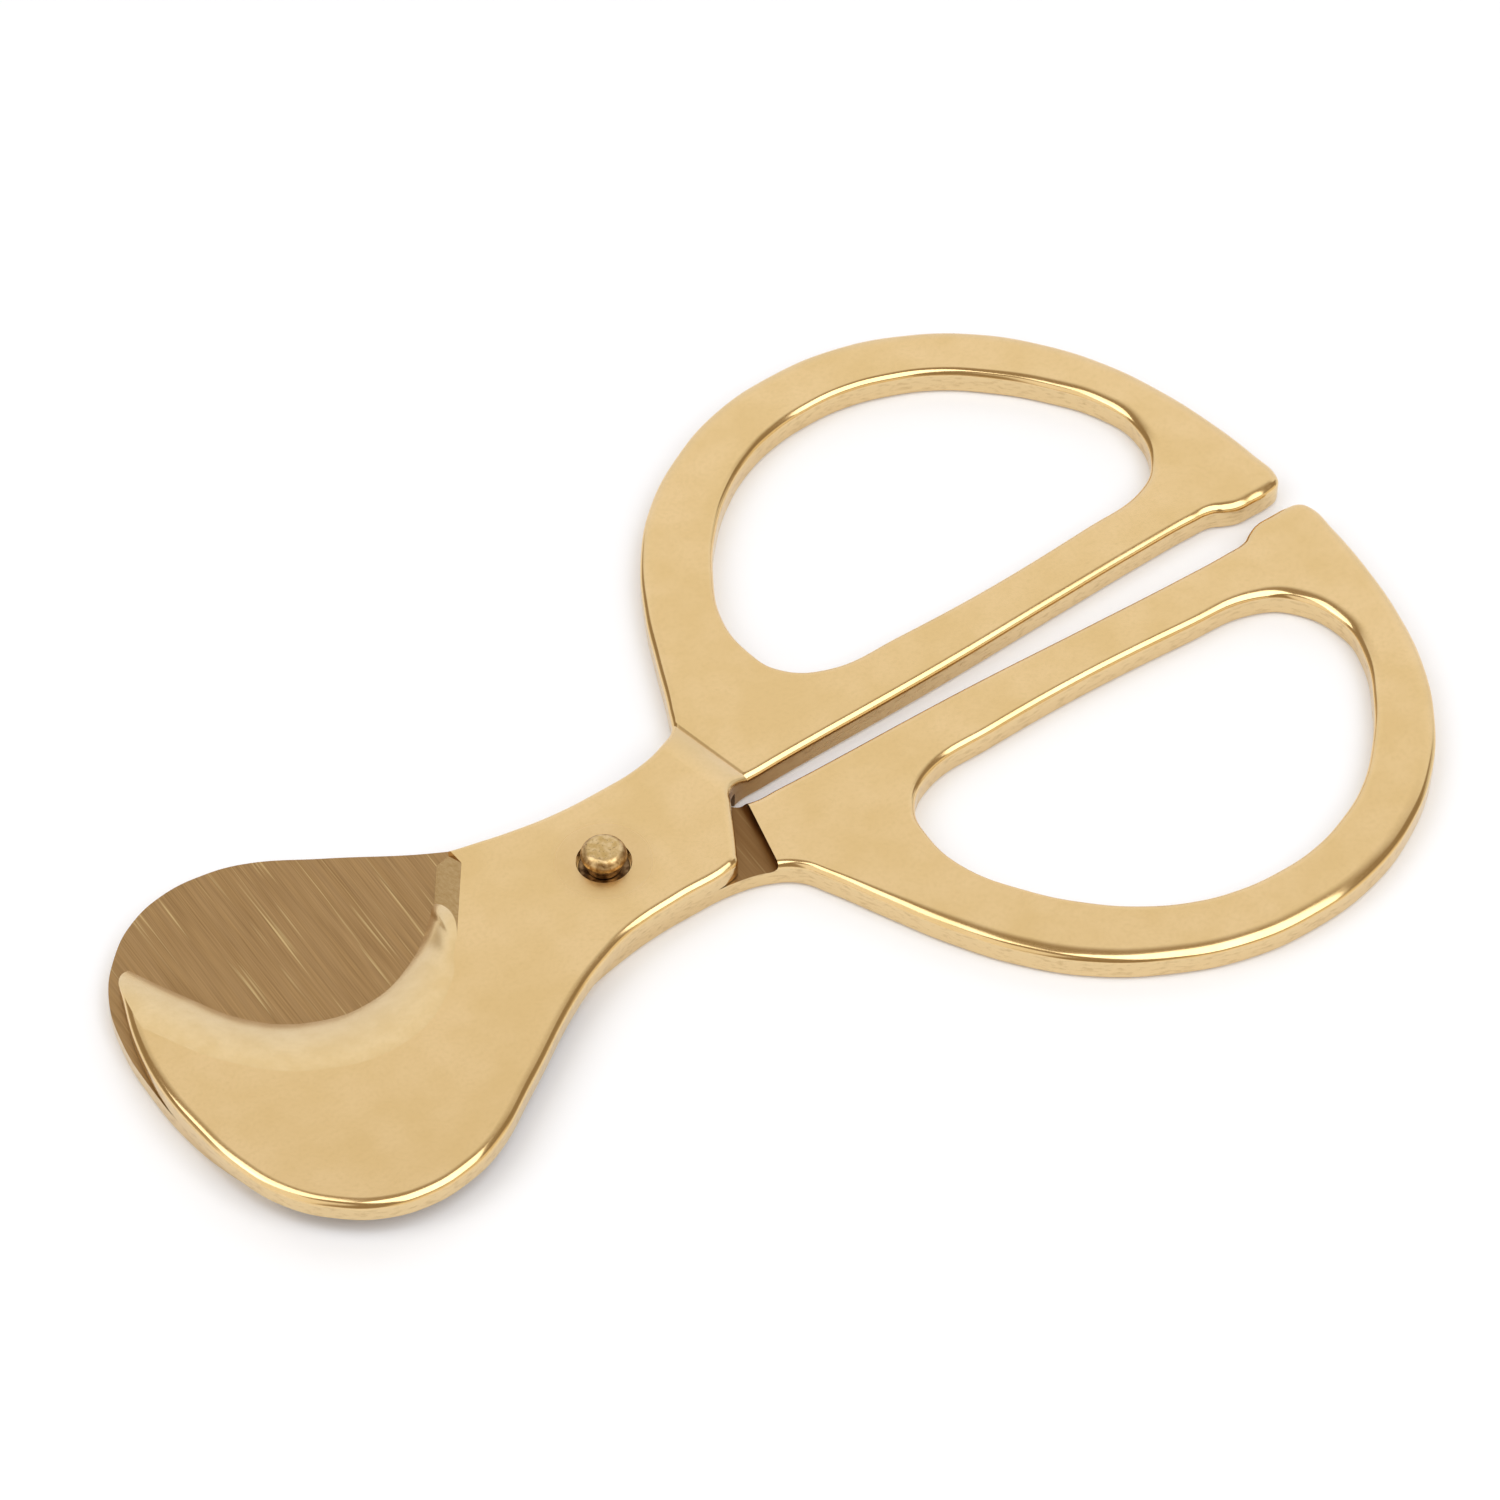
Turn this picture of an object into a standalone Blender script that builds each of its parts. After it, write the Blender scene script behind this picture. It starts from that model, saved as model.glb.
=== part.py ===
"""Cigar scissors: two crossed steel halves, each with a crescent blade and a finger loop, on one rivet.

Lengths are in millimetres and become metres as each mesh is made. The pivot axis is the Z axis. The scissors
lie flat on Z = 0, the blades towards -X and the finger loops towards +X. The outlines show the upper half
with the scissors closed, its loop on the +Y side. The lower half is the same outline mirrored to the -Y side.
"""

import math

import bmesh
import bpy
from mathutils import Matrix, Vector

MM = 0.001

# Main sizes of one half in plan, from the pivot, with the scissors closed
HANDLE_LENGTH = 75.8
HANDLE_WIDTH = 38.6
RIM_WIDTH = 5.6
END_WIDTH = 6.4
SHANK_LENGTH = 14.3
SHANK_HALF_WIDTH = 7.1
BLADE_LENGTH = 43.7
BLADE_WIDTH = 19.9

# Thicknesses, upwards from the surface that the scissors lie on
HANDLE_THICKNESS = 2.7
LOWER_BLADE_THICKNESS = 1.85
BLADE_GAP = 0.1
UPPER_BLADE_THICKNESS = 1.88
EDGE_ROUNDING = 0.6

# How far the scissors stand open at rest, from the position where the stops meet
REST_OPENING_DEG = 1.8

# Pivot
RIVET_RADIUS = 1.25
RUNNING_CLEARANCE = 0.05
SEAT_GAP = 0.1
HEAD_RADIUS = 2.0
HEAD_RIM_HEIGHT = 0.9
HEAD_FLAT_RADIUS = 1.4
HEAD_HEIGHT = 1.75
COUNTERBORE_DEPTH = 0.95
WASHER_THICKNESS = 0.25
WASHER_RADIUS = 2.2
WASHER_CLEARANCE = 0.15
TAIL_RADIUS = 1.9
TAIL_THICKNESS = 0.5
TAIL_CLEARANCE = 0.1

# How far the upper half's top face slopes, from the raised blade down to the handle
RAMP_LENGTH = 1.9

# Outline of one half. Each curve down to the bevel's is drawn in millimetres, and sized() stretches it to the
# main sizes. The blank is drawn past the crescent, which the bevel cuts out afterwards
EAR = [(8.1, -7.05), (9.2, -6.7), (9.75, -5.9), (11.5, -3.1), (12.7, -1.1), (13.5, 0.1), (14.6, 0.7)]
INNER_BAR = [(17.5, 0.85), (38.0, 0.85), (50.0, 1.15), (61.0, 1.38), (66.0, 1.35)]
STOP = [(68.2, 1.15), (69.2, 0.6), (70.4, 0.1), (72.0, 0.0), (73.9, 0.0), (75.1, 0.3), (75.7, 1.1)]
LOOP = [
    (75.8, 4.5),
    (75.2, 10.4),
    (74.1, 15.9),
    (72.3, 21.3),
    (69.3, 26.7),
    (65.1, 31.6),
    (59.7, 35.4),
    (53.6, 37.8),
    (46.8, 38.6),
    (40.2, 37.9),
    (33.9, 35.5),
    (28.3, 31.9),
    (23.9, 27.3),
    (20.4, 21.9),
    (17.8, 16.7),
]
NECK = [(15.3, 11.5), (14.0, 9.3), (12.1, 8.0), (9.0, 7.1), (4.0, 6.9), (-0.1, 7.1), (-3.9, 7.7), (-7.4, 8.5)]
BLANK = [(-10.4, 9.3), (-24.0, 14.6), (-36.0, 16.0), (-38.4, 15.6)]
BLADE = [
    (-39.7, 14.7),
    (-40.9, 12.2),
    (-42.6, 7.7),
    (-43.6, 2.6),
    (-43.7, -3.0),
    (-43.2, -8.0),
    (-41.6, -12.9),
    (-38.9, -16.4),
    (-35.8, -18.7),
    (-31.9, -19.9),
    (-28.0, -19.8),
    (-24.6, -18.9),
    (-18.5, -15.4),
    (-10.3, -10.4),
]
SHANK_SIDE = [(-6.0, -8.5), (-2.6, -7.5), (3.0, -7.1)]
FINGER_HOLE = [
    (25.0, 12.5),
    (25.4, 17.0),
    (28.3, 22.4),
    (31.7, 26.4),
    (35.2, 29.3),
    (39.0, 31.4),
    (42.9, 32.6),
    (47.0, 33.0),
    (51.1, 32.7),
    (55.1, 31.5),
    (59.0, 29.5),
    (62.6, 26.4),
    (65.9, 22.5),
    (68.7, 17.6),
    (69.4, 13.8),
    (67.6, 9.1),
    (64.8, 7.2),
    (58.0, 6.5),
    (36.5, 6.3),
    (29.0, 7.1),
    (25.8, 9.6),
]

# The line across each half where its thick handle ends and its thin blade begins, on the mating side
STEP_LINE = [(14.3, 1.0), (12.7, 7.4)]
# The line across the upper half where the raised blade has come down to the handle's top face
CREASE_LINE = [(15.9, 1.5), (14.8, 8.1)]

# The crescent edge on the mating face, and point for point the shoulder of its bevel on the outer face
CRESCENT_EDGE = [
    (-40.6, 22.0),
    (-38.1, 15.4),
    (-36.0, 10.5),
    (-33.3, 5.4),
    (-29.6, 2.1),
    (-24.0, 0.6),
    (-18.3, 2.3),
    (-14.5, 5.2),
    (-12.6, 7.3),
    (-10.6, 9.2),
    (-6.0, 12.5),
]
BEVEL_SHOULDER = [
    (-48.0, 20.0),
    (-43.6, 14.2),
    (-40.9, 8.0),
    (-37.6, 1.8),
    (-32.4, -3.2),
    (-24.6, -5.1),
    (-17.3, -2.4),
    (-13.0, 2.5),
    (-11.0, 5.6),
    (-9.6, 8.3),
    (-5.4, 11.9),
]

CUTTER_MARGIN = 0.5
CUTTER_FAR_Y = 30.0
CURVE_STEPS = 4
ROUNDING_STEPS = 1
SHOULDER_STEPS = 3
TURNED_STEPS = 48
MERGE_DISTANCE = 0.001
SNAP_DISTANCE = 0.00001
SHARP_ANGLE_DEG = 35

HOLE_RADIUS = RIVET_RADIUS + RUNNING_CLEARANCE
MATING_TOP = LOWER_BLADE_THICKNESS
MATING_BOTTOM = LOWER_BLADE_THICKNESS + BLADE_GAP
UPPER_TOP = MATING_BOTTOM + UPPER_BLADE_THICKNESS


def clear_scene():
    for obj in list(bpy.data.objects):
        bpy.data.objects.remove(obj, do_unlink=True)


def new_collection(name):
    collection = bpy.data.collections.new(name)
    bpy.context.scene.collection.children.link(collection)
    return collection


def metal(name, color, roughness):
    material = bpy.data.materials.new(name)
    material.use_nodes = True
    shader = material.node_tree.nodes["Principled BSDF"]
    shader.inputs["Base Color"].default_value = (*color, 1.0)
    shader.inputs["Metallic"].default_value = 1.0
    shader.inputs["Roughness"].default_value = roughness
    return material


def furthest(points, axis):
    """How far the points reach from the pivot along an axis."""
    return max(abs(point[axis]) for point in points)


def stretched(value, stops):
    """The value moved evenly between stops, which are (drawn, real) distances from the pivot."""
    for (drawn_start, real_start), (drawn_end, real_end) in zip(stops, stops[1:]):
        if abs(value) <= drawn_end:
            break
    share = (abs(value) - drawn_start) / (drawn_end - drawn_start)
    return math.copysign(real_start + share * (real_end - real_start), value)


def sized(points):
    """Drawn points in their real place, where the shank, handle, rim and blade have their main sizes."""
    pivot = (0.0, 0.0)
    shank = (abs(SHANK_SIDE[-1][1]), SHANK_HALF_WIDTH)
    handle_x = [
        pivot,
        (furthest(STEP_LINE, 0), SHANK_LENGTH),
        (furthest(FINGER_HOLE, 0), HANDLE_LENGTH - END_WIDTH),
        (furthest(LOOP, 0), HANDLE_LENGTH),
    ]
    handle_y = [
        pivot,
        shank,
        (furthest(FINGER_HOLE, 1), HANDLE_WIDTH - RIM_WIDTH),
        (furthest(LOOP, 1), HANDLE_WIDTH),
    ]
    blade_x = [pivot, (furthest(BLADE, 0), BLADE_LENGTH)]
    blade_y = [pivot, shank, (furthest(BLADE, 1), BLADE_WIDTH)]
    places = []
    for x, y in points:
        if x > 0.0:
            places.append((stretched(x, handle_x), stretched(y, handle_y)))
        else:
            places.append((stretched(x, blade_x), stretched(y, blade_y)))
    return places


def flat_curve(name, loops, mirrored):
    """A 2D curve with one smooth closed spline for each loop of drawn points."""
    curve = bpy.data.curves.new(name, "CURVE")
    curve.dimensions = "2D"
    curve.resolution_u = CURVE_STEPS
    for points in loops:
        spline = curve.splines.new("BEZIER")
        spline.bezier_points.add(len(points) - 1)
        for knot, (x, y) in zip(spline.bezier_points, sized(points)):
            knot.co = (x * MM, -y * MM if mirrored else y * MM, 0.0)
            knot.handle_left_type = "AUTO"
            knot.handle_right_type = "AUTO"
        spline.use_cyclic_u = True
    return curve


def mesh_of(obj):
    """The evaluated mesh of a curve object, welded, in place of the object."""
    bpy.context.view_layer.update()
    graph = bpy.context.evaluated_depsgraph_get()
    mesh = bpy.data.meshes.new_from_object(obj.evaluated_get(graph))
    bpy.data.objects.remove(obj, do_unlink=True)
    return mesh


def plate(name, bottom, top, mirrored):
    """The outline of a half with its finger hole, from bottom to top, with rounded edges on both faces."""
    outline = EAR + INNER_BAR + STOP + LOOP + NECK + BLANK + BLADE + SHANK_SIDE
    curve = flat_curve(name, [outline, FINGER_HOLE], mirrored)
    curve.fill_mode = "BOTH"
    curve.offset = -EDGE_ROUNDING * MM
    curve.bevel_depth = EDGE_ROUNDING * MM
    curve.bevel_resolution = ROUNDING_STEPS
    curve.extrude = ((top - bottom) / 2 - EDGE_ROUNDING) * MM
    obj = bpy.data.objects.new(name, curve)
    bpy.context.scene.collection.objects.link(obj)
    mesh = mesh_of(obj)
    bm = bmesh.new()
    bm.from_mesh(mesh)
    bpy.data.meshes.remove(mesh)
    bmesh.ops.remove_doubles(bm, verts=bm.verts, dist=MERGE_DISTANCE * MM)
    bmesh.ops.translate(bm, verts=bm.verts, vec=(0.0, 0.0, (bottom + top) / 2 * MM))
    bmesh.ops.recalc_face_normals(bm, faces=bm.faces)
    return bm


def across(inner, outer):
    """The level unit vector that crosses the line from inner to outer, towards the handle."""
    along = Vector(outer) - Vector(inner)
    return Vector((along.y, -along.x)).normalized()


def raise_blade(bm):
    """Lifts the top face of the upper half over the pivot and blade, up a ramp that starts at the crease."""
    crease_inner, crease_outer = sized(CREASE_LINE)
    towards_handle = across(crease_inner, crease_outer)
    for distance in (0.0, RAMP_LENGTH):
        geometry = bm.verts[:] + bm.edges[:] + bm.faces[:]
        line = (Vector(crease_inner) - distance * towards_handle) * MM
        bmesh.ops.bisect_plane(
            bm,
            geom=geometry,
            dist=SNAP_DISTANCE * MM,
            plane_co=(line.x, line.y, 0.0),
            plane_no=(towards_handle.x, towards_handle.y, 0.0),
        )
    bmesh.ops.triangulate(bm, faces=bm.faces)
    for vert in bm.verts:
        if vert.co.z < HANDLE_THICKNESS / 2 * MM:
            continue
        beyond_crease = (Vector(crease_inner) - vert.co.xy / MM).dot(towards_handle)
        share = min(max(beyond_crease / RAMP_LENGTH, 0.0), 1.0)
        vert.co.z += share * (UPPER_TOP - HANDLE_THICKNESS) * MM


def to_object(bm, name, collection, material=None):
    mesh = bpy.data.meshes.new(name)
    bm.to_mesh(mesh)
    bm.free()
    obj = bpy.data.objects.new(name, mesh)
    collection.objects.link(obj)
    if material:
        mesh.materials.append(material)
    return obj


def as_cutter(obj):
    obj.hide_render = True
    obj.display_type = "WIRE"
    return obj


def cut(obj, cutter):
    """Cuts the cutter out of the object. From then on the cutter turns with it."""
    cutter.parent = obj
    modifier = obj.modifiers.new(cutter.name, "BOOLEAN")
    modifier.operation = "DIFFERENCE"
    modifier.solver = "EXACT"
    modifier.object = cutter


def sampled(points, mirrored):
    """The points along the smooth open line through the drawn points."""
    curve = flat_curve("line", [points], mirrored)
    curve.fill_mode = "NONE"
    curve.splines[0].use_cyclic_u = False
    obj = bpy.data.objects.new("line", curve)
    bpy.context.scene.collection.objects.link(obj)
    mesh = mesh_of(obj)
    line = [vertex.co.xy / MM for vertex in mesh.vertices]
    bpy.data.meshes.remove(mesh)
    return line


def bevel_cutter(name, mating_z, outer_z, mirrored, cutters):
    """A loft from the crescent edge on the mating face to the shoulder on the outer face, past both faces."""
    edge = sampled(CRESCENT_EDGE, mirrored)
    shoulder = sampled(BEVEL_SHOULDER, mirrored)
    far_y = -CUTTER_FAR_Y if mirrored else CUTTER_FAR_Y
    margin = CUTTER_MARGIN / abs(outer_z - mating_z)
    bm = bmesh.new()
    rings = []
    for share in (-margin, 1.0 + margin):
        z = mating_z + (outer_z - mating_z) * share
        ring = [start.lerp(end, share) for start, end in zip(edge, shoulder)]
        ring.append(Vector((ring[-1].x, far_y)))
        ring.append(Vector((ring[0].x, far_y)))
        rings.append([bm.verts.new((x * MM, y * MM, z * MM)) for x, y in ring])
    loops = []
    for ring in rings:
        for start, end in zip(ring, ring[1:] + ring[:1]):
            loops.append(bm.edges.new((start, end)))
        bm.faces.new(ring)
    bmesh.ops.bridge_loops(bm, edges=loops)
    bmesh.ops.triangulate(bm, faces=bm.faces)
    bmesh.ops.recalc_face_normals(bm, faces=bm.faces)
    return as_cutter(to_object(bm, name, cutters))


def drill(name, radius, bottom, top, cutters):
    bm = bmesh.new()
    depth = (top - bottom) * MM
    place = Matrix.Translation((0.0, 0.0, (bottom + top) / 2 * MM))
    bmesh.ops.create_cone(
        bm,
        cap_ends=True,
        segments=TURNED_STEPS,
        radius1=radius * MM,
        radius2=radius * MM,
        depth=depth,
        matrix=place,
    )
    return as_cutter(to_object(bm, name, cutters))


def smooth(obj):
    """Smooth shading in which the large flat faces stay flat."""
    obj.data.shade_smooth()
    obj.data.set_sharp_from_angle(angle=math.radians(SHARP_ANGLE_DEG))
    normals = obj.modifiers.new("flat faces first", "WEIGHTED_NORMAL")
    normals.keep_sharp = True


def relief(name, bottom, top, mirrored, cutters):
    """A block that reaches from the step line over the pivot and the blade, between two heights."""
    bm = bmesh.new()
    bmesh.ops.create_cube(bm, size=1.0)
    length = 2 * CUTTER_FAR_Y
    bmesh.ops.scale(bm, verts=bm.verts, vec=(length * MM, 2 * length * MM, (top - bottom) * MM))
    bmesh.ops.translate(bm, verts=bm.verts, vec=(-length / 2 * MM, 0.0, (bottom + top) / 2 * MM))
    step_inner, step_outer = sized(STEP_LINE)
    towards_handle = across(step_inner, step_outer)
    angle = math.atan2(towards_handle.y, towards_handle.x)
    step_x, step_y = step_inner
    if mirrored:
        angle = -angle
        step_y = -step_y
    place = Matrix.Translation((step_x * MM, step_y * MM, 0.0))
    bmesh.ops.transform(bm, matrix=place @ Matrix.Rotation(angle, 4, "Z"), verts=bm.verts)
    return as_cutter(to_object(bm, name, cutters))


def make_upper_half(collection, cutters, material):
    """The half whose shank and blade rise over the lower half: they are raised, and relieved from below."""
    blank = plate("upper_half", 0.0, HANDLE_THICKNESS, False)
    raise_blade(blank)
    half = to_object(blank, "upper_half", collection, material)
    above = UPPER_TOP + CUTTER_MARGIN
    floor = UPPER_TOP - COUNTERBORE_DEPTH
    bore_radius = WASHER_RADIUS + WASHER_CLEARANCE
    cut(half, relief("upper_relief", -CUTTER_MARGIN, MATING_BOTTOM, False, cutters))
    cut(half, bevel_cutter("upper_bevel", MATING_BOTTOM, UPPER_TOP, False, cutters))
    cut(half, drill("upper_hole", HOLE_RADIUS, 0.0, above, cutters))
    cut(half, drill("counterbore", bore_radius, floor, above, cutters))
    smooth(half)
    half.rotation_euler.z = math.radians(REST_OPENING_DEG / 2)


def make_lower_half(collection, cutters, material):
    """The flat-bottomed half: its blade is thinned from above, so that the upper blade crosses over it."""
    half = to_object(plate("lower_half", 0.0, HANDLE_THICKNESS, True), "lower_half", collection, material)
    above = HANDLE_THICKNESS + CUTTER_MARGIN
    recess_radius = TAIL_RADIUS + TAIL_CLEARANCE
    recess_depth = TAIL_THICKNESS + SEAT_GAP
    cut(half, relief("lower_relief", MATING_TOP, above, True, cutters))
    cut(half, bevel_cutter("lower_bevel", MATING_TOP, 0.0, True, cutters))
    cut(half, drill("lower_hole", HOLE_RADIUS, -CUTTER_MARGIN, above, cutters))
    cut(half, drill("tail_recess", recess_radius, -CUTTER_MARGIN, recess_depth, cutters))
    smooth(half)
    half.rotation_euler.z = -math.radians(REST_OPENING_DEG / 2)


def turned(name, profile, collection, material):
    """A profile of (radius, height) points that runs down its outer side, turned about the pivot axis."""
    bm = bmesh.new()
    verts = [bm.verts.new((radius * MM, 0.0, z * MM)) for radius, z in profile]
    for start, end in zip(verts, verts[1:]):
        bm.edges.new((start, end))
    obj = to_object(bm, name, collection, material)
    screw = obj.modifiers.new("turn", "SCREW")
    screw.steps = TURNED_STEPS
    screw.render_steps = TURNED_STEPS
    screw.use_merge_vertices = True
    screw.merge_threshold = MERGE_DISTANCE * MM
    screw.use_smooth_shade = False
    return obj


def make_rivet(collection, material):
    """A head with a rounded shoulder, a plain shank, and a tail peened flush with the underside."""
    washer_top = UPPER_TOP - COUNTERBORE_DEPTH + SEAT_GAP + WASHER_THICKNESS
    head_bottom = washer_top + SEAT_GAP
    rim_top = UPPER_TOP + HEAD_RIM_HEIGHT
    crown = UPPER_TOP + HEAD_HEIGHT
    profile = [(0.0, crown)]
    for step in range(SHOULDER_STEPS + 1):
        angle = math.radians(90.0 * step / SHOULDER_STEPS)
        radius = HEAD_FLAT_RADIUS + (HEAD_RADIUS - HEAD_FLAT_RADIUS) * math.sin(angle)
        profile.append((radius, rim_top + (crown - rim_top) * math.cos(angle)))
    profile += [
        (HEAD_RADIUS, head_bottom),
        (RIVET_RADIUS, head_bottom),
        (RIVET_RADIUS, TAIL_THICKNESS),
        (TAIL_RADIUS, TAIL_THICKNESS),
        (TAIL_RADIUS, 0.0),
        (0.0, 0.0),
    ]
    turned("pivot_rivet", profile, collection, material)


def make_washer(collection, material):
    """The thin washer that keeps the joint tight, on the floor of the counterbore, under the rivet's head."""
    bottom = UPPER_TOP - COUNTERBORE_DEPTH + SEAT_GAP
    top = bottom + WASHER_THICKNESS
    profile = [
        (HOLE_RADIUS, top),
        (WASHER_RADIUS, top),
        (WASHER_RADIUS, bottom),
        (HOLE_RADIUS, bottom),
        (HOLE_RADIUS, top),
    ]
    turned("spring_washer", profile, collection, material)


def main():
    clear_scene()
    scissors = new_collection("cigar_scissors")
    cutters = new_collection("cutters")
    make_upper_half(scissors, cutters, metal("gold_steel_upper", (0.76, 0.53, 0.24), 0.16))
    make_lower_half(scissors, cutters, metal("gold_steel_lower", (0.76, 0.53, 0.24), 0.16))
    make_rivet(scissors, metal("gold_rivet", (0.64, 0.45, 0.22), 0.25))
    make_washer(scissors, metal("spring_steel", (0.45, 0.32, 0.18), 0.3))


main()
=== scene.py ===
"""Cigar scissors with their real finishes: two gold-plated halves, the pivot rivet and its spring washer.

Lengths are in millimetres and become metres as each mesh is made. The pivot axis is the Z axis, and the scissors
lie on Z = 0. Both halves are modelled as the upper one, closed, with the loop on the +Y side. The lower half is
then mirrored, and each half is turned to where it stands at rest.
"""

import math

import bmesh
import bpy
from mathutils import Matrix, Quaternion, Vector


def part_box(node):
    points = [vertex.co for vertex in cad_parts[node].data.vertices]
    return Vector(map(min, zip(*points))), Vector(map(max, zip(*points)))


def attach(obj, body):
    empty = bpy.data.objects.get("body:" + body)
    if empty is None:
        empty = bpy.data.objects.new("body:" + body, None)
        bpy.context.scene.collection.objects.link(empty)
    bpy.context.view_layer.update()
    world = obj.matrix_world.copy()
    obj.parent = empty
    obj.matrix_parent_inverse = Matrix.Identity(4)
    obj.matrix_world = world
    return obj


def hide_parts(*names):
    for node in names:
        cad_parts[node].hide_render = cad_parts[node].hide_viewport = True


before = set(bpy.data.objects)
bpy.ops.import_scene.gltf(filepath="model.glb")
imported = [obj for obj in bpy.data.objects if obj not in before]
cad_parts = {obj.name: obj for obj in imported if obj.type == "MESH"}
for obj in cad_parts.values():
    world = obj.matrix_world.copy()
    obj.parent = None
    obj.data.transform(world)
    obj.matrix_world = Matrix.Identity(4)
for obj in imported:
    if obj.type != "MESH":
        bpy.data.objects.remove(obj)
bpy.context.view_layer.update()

MM = 0.001

# Heights, the tops read from the frame
LOWER_MATING = 1.85
UPPER_MATING = 1.95
HANDLE_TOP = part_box("lower_half")[1].z / MM
UPPER_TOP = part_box("upper_half")[1].z / MM
REST_OPENING_DEG = 1.8

# Pivot
BORE_RADIUS = 1.3
COUNTERBORE_RADIUS = 2.35
COUNTERBORE_DEPTH = 0.95
COUNTERBORE_BREAK = 0.06
TAIL_RECESS_RADIUS = 2.0
TAIL_RECESS_DEPTH = 0.6
HEAD_RADIUS = 2.0
HEAD_RIM_HEIGHT = 0.9
HEAD_FLAT_RADIUS = 1.12
HEAD_SEAT_GAP = 0.1
UNDERCUT_WIDTH = 0.45
UNDERCUT_HEIGHT = 0.7
SHANK_RADIUS = 1.25
TAIL_RADIUS = 1.9
TAIL_THICKNESS = 0.5
TAIL_CHAMFER = 0.1
WASHER_ROUNDING = 0.06

# Rounded edges: how deep they go, and how many steps turn the face into the wall
CROWN_DEPTH = 0.65
CROWN_STEPS = 16
FOOT_DEPTH = 0.5
FOOT_WIDTH = 0.5
FOOT_STEPS = 8
CONVEX_SHARE = 0.7

# The slope from the raised blade down to the handle, and the ground fillet at the lower half's step
RAMP_LENGTH = 3.4
RAMP_POWER = 1.65
RAMP_STEPS = 14
CREASE_WIDTH = 0.3
CREASE_DEPTH = 0.05
FILLET_STEPS = 10

# The bevel's section: how crowned it is between its steep cutting edge and its shoulder, the slope that it keeps
# at the shoulder, its steps, and how many more steps the cutter runs on past both
BEVEL_POWER = 2.0
BEVEL_RUNOUT = 0.04
BEVEL_STEPS = 18
BEVEL_OVERRUN = 2

# How finely curves and turned pieces are divided
CURVE_STEPS = 12
TURNED_STEPS = 96

# How far cutters stand proud, a length past every piece, and the distance at which two points are one
MARGIN = 0.5
FAR = 60.0
MERGE = 0.0002

# The turn past which an edge is a real corner, the turn within which faces are one, and the pull of large faces
SHARP_DEG = 15
FLAT_DEG = 0.1
FLAT_WEIGHT = 80

# Studio: how far the paper lies under the scissors in millimetres, its half side in metres, how much it shines to
# the camera and in the metal, and the lamps' distance in metres
FLOOR_GAP = 0.02
FLOOR_REACH = 3.0
PAPER_GLOW = 0.08
LAMP_DISTANCE = 0.9

# Camera: its lens and sensor and its place in millimetres, its own X and Z axes, and its view's span in metres
CAMERA_LENS = 157.1
CAMERA_SENSOR = 36.0
CAMERA_PLACE = (-200.48, -296.45, 431.01)
CAMERA_RIGHT = (0.80841, -0.58863, 0.0)
CAMERA_BACK = (-0.38548, -0.52941, 0.75574)
CAMERA_SPAN = (0.05, 20.0)

# Spans of a noise's values, which lie round 0.5: the middle ones, more of them, and the high ones
MIDDLE = (0.35, 0.65)
BROAD = (0.3, 0.7)
HIGH = (0.45, 0.75)

# Outline of one half, in pieces, each with the width of the rounding along it
EAR = [(8.1, -7.05), (9.2, -6.7), (9.75, -5.9), (11.5, -3.1), (12.7, -1.1), (13.5, 0.1), (14.6, 0.7)]
INNER_BAR = [(17.5, 0.85), (38.0, 0.85), (50.0, 1.15), (61.0, 1.38), (66.0, 1.35)]
STOP = [(68.2, 1.15), (69.2, 0.6), (70.4, 0.1), (72.0, 0.0), (73.9, 0.0), (75.1, 0.3), (75.7, 1.1)]
LOOP = [
    (75.77, 4.5),
    (75.2, 10.4),
    (74.1, 15.9),
    (72.3, 21.3),
    (69.3, 26.7),
    (65.1, 31.6),
    (59.7, 35.4),
    (53.6, 37.8),
    (46.8, 38.59),
    (40.2, 37.9),
    (33.9, 35.5),
    (28.3, 31.9),
    (23.9, 27.3),
    (20.4, 21.9),
    (17.8, 16.7),
]
NECK = [(15.3, 11.5), (14.0, 9.3), (12.1, 8.0), (9.0, 7.1), (4.0, 6.9), (-0.1, 7.1), (-3.9, 7.7), (-7.4, 8.5)]
BLANK = [(-10.4, 9.3), (-24.0, 14.6), (-36.0, 16.0), (-38.4, 15.6)]
BLADE = [
    (-39.7, 14.7),
    (-40.9, 12.2),
    (-42.6, 7.7),
    (-43.6, 2.6),
    (-43.7, -3.0),
    (-43.2, -8.0),
    (-41.6, -12.9),
    (-38.9, -16.4),
    (-35.8, -18.7),
    (-31.9, -19.9),
    (-28.0, -19.8),
    (-24.6, -18.9),
    (-18.5, -15.4),
    (-10.3, -10.4),
]
SHANK_SIDE = [(-6.0, -8.5), (-2.6, -7.5), (3.0, -7.1)]
OUTLINE = [
    (EAR, 0.85),
    (INNER_BAR, 0.75),
    (STOP, 1.0),
    (LOOP, 1.35),
    (NECK, 0.7),
    (BLANK, 0.5),
    (BLADE, 0.95),
    (SHANK_SIDE, 0.8),
]
HOLE_NECK_END = [(25.0, 12.5), (25.4, 17.0), (28.3, 22.4)]
HOLE_ARCH = [
    (31.7, 26.4),
    (35.2, 29.3),
    (39.0, 31.4),
    (42.9, 32.6),
    (47.0, 33.0),
    (51.1, 32.7),
    (55.1, 31.5),
    (59.0, 29.5),
    (62.6, 26.4),
]
HOLE_TAIL_END = [(65.9, 22.5), (68.7, 17.6), (69.4, 13.8), (67.6, 9.1), (64.8, 7.2)]
HOLE_BAR = [(58.0, 6.5), (36.5, 6.3), (29.0, 7.1), (25.8, 9.6)]
FINGER_HOLE = [(HOLE_NECK_END, 0.5), (HOLE_ARCH, 0.75), (HOLE_TAIL_END, 1.2), (HOLE_BAR, 0.75)]

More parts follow.
